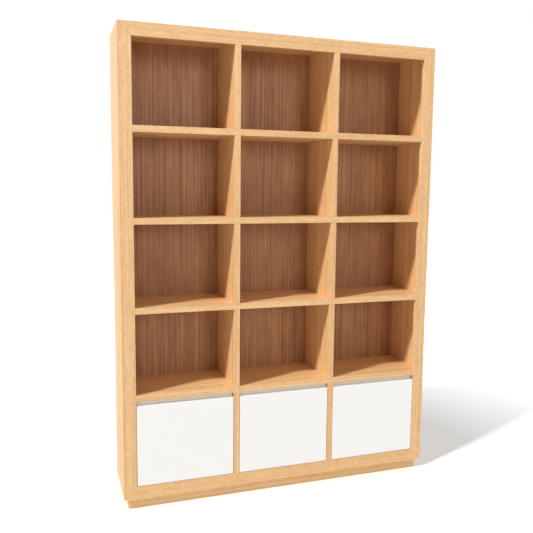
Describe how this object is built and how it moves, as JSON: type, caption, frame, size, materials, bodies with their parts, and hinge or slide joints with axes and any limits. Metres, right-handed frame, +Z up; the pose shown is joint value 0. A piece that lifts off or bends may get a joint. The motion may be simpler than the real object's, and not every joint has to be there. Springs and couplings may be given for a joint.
{
  "type": "bookcase with bottom drawers",
  "caption": "Tall free-standing bookcase: open compartments in columns over a row of flush white drawers, in a wide mitred wooden front frame on a recessed plinth.",
  "frame": {"origin": "on the floor, under the middle of the bookcase's width and depth", "axes": "+Z up, +X to the right as seen from the front, -Y out of the open front, +Y to the wall behind"},
  "size_m": [1.5, 0.3, 2.1],
  "materials": {
    "frame_wood": "satin clear lacquer",
    "shelf_wood": "satin clear lacquer",
    "plinth_wood": "satin clear lacquer",
    "back_veneer": "satin clear lacquer over straight-grained veneer",
    "white_lacquer": "satin white lacquer",
    "drawer_box": "matt white coating",
    "zinc_steel": "zinc plated"
  },
  "bodies": {
    "root": {"side_board_left": "frame_wood", "side_board_right": "frame_wood", "bottom_board": "frame_wood", "top_board": "frame_wood", "stile_left": "frame_wood", "stile_right": "frame_wood", "rail_bottom": "frame_wood", "rail_top": "frame_wood", "divider_left": "frame_wood", "divider_right": "frame_wood", "runner_packer_left": "plinth_wood", "runner_packer_right": "plinth_wood", "back_panel": "back_veneer", "plinth_left": "plinth_wood", "plinth_right": "plinth_wood", "plinth_front": "plinth_wood", "plinth_back": "plinth_wood", "shelf_1": "shelf_wood", "shelf_2": "shelf_wood", "shelf_3": "shelf_wood", "shelf_4": "shelf_wood", "drawer_left_runner_left_cabinet": "zinc_steel", "drawer_left_runner_right_cabinet": "zinc_steel", "drawer_centre_runner_left_cabinet": "zinc_steel", "drawer_centre_runner_right_cabinet": "zinc_steel", "drawer_right_runner_left_cabinet": "zinc_steel", "drawer_right_runner_right_cabinet": "zinc_steel"},
    "drawer_left": {"drawer_left_front": "white_lacquer", "drawer_left_box_left": "drawer_box", "drawer_left_box_right": "drawer_box", "drawer_left_box_front": "drawer_box", "drawer_left_box_back": "drawer_box", "drawer_left_box_bottom": "drawer_box", "drawer_left_runner_left_drawer": "zinc_steel", "drawer_left_runner_right_drawer": "zinc_steel"},
    "drawer_left_middle_runners": {"drawer_left_runner_left_middle": "zinc_steel", "drawer_left_runner_right_middle": "zinc_steel"},
    "drawer_centre": {"drawer_centre_front": "white_lacquer", "drawer_centre_box_left": "drawer_box", "drawer_centre_box_right": "drawer_box", "drawer_centre_box_front": "drawer_box", "drawer_centre_box_back": "drawer_box", "drawer_centre_box_bottom": "drawer_box", "drawer_centre_runner_left_drawer": "zinc_steel", "drawer_centre_runner_right_drawer": "zinc_steel"},
    "drawer_centre_middle_runners": {"drawer_centre_runner_left_middle": "zinc_steel", "drawer_centre_runner_right_middle": "zinc_steel"},
    "drawer_right": {"drawer_right_front": "white_lacquer", "drawer_right_box_left": "drawer_box", "drawer_right_box_right": "drawer_box", "drawer_right_box_front": "drawer_box", "drawer_right_box_back": "drawer_box", "drawer_right_box_bottom": "drawer_box", "drawer_right_runner_left_drawer": "zinc_steel", "drawer_right_runner_right_drawer": "zinc_steel"},
    "drawer_right_middle_runners": {"drawer_right_runner_left_middle": "zinc_steel", "drawer_right_runner_right_middle": "zinc_steel"}
  },
  "joints": [
    {"name": "drawer_left_slide", "type": "slide", "parent": "root", "child": "drawer_left", "axis": [0, -1, 0], "range_m": [0, 0.25]},
    {"name": "drawer_left_runner_slide", "type": "slide", "parent": "root", "child": "drawer_left_middle_runners", "axis": [0, -1, 0], "range_m": [0, 0.125]},
    {"name": "drawer_centre_slide", "type": "slide", "parent": "root", "child": "drawer_centre", "axis": [0, -1, 0], "range_m": [0, 0.25]},
    {"name": "drawer_centre_runner_slide", "type": "slide", "parent": "root", "child": "drawer_centre_middle_runners", "axis": [0, -1, 0], "range_m": [0, 0.125]},
    {"name": "drawer_right_slide", "type": "slide", "parent": "root", "child": "drawer_right", "axis": [0, -1, 0], "range_m": [0, 0.25]},
    {"name": "drawer_right_runner_slide", "type": "slide", "parent": "root", "child": "drawer_right_middle_runners", "axis": [0, -1, 0], "range_m": [0, 0.125]}
  ],
  "couplings": [
    {"joint": "drawer_left_runner_slide", "follows": "drawer_left_slide", "ratio": 0.5},
    {"joint": "drawer_centre_runner_slide", "follows": "drawer_centre_slide", "ratio": 0.5},
    {"joint": "drawer_right_runner_slide", "follows": "drawer_right_slide", "ratio": 0.5}
  ]
}
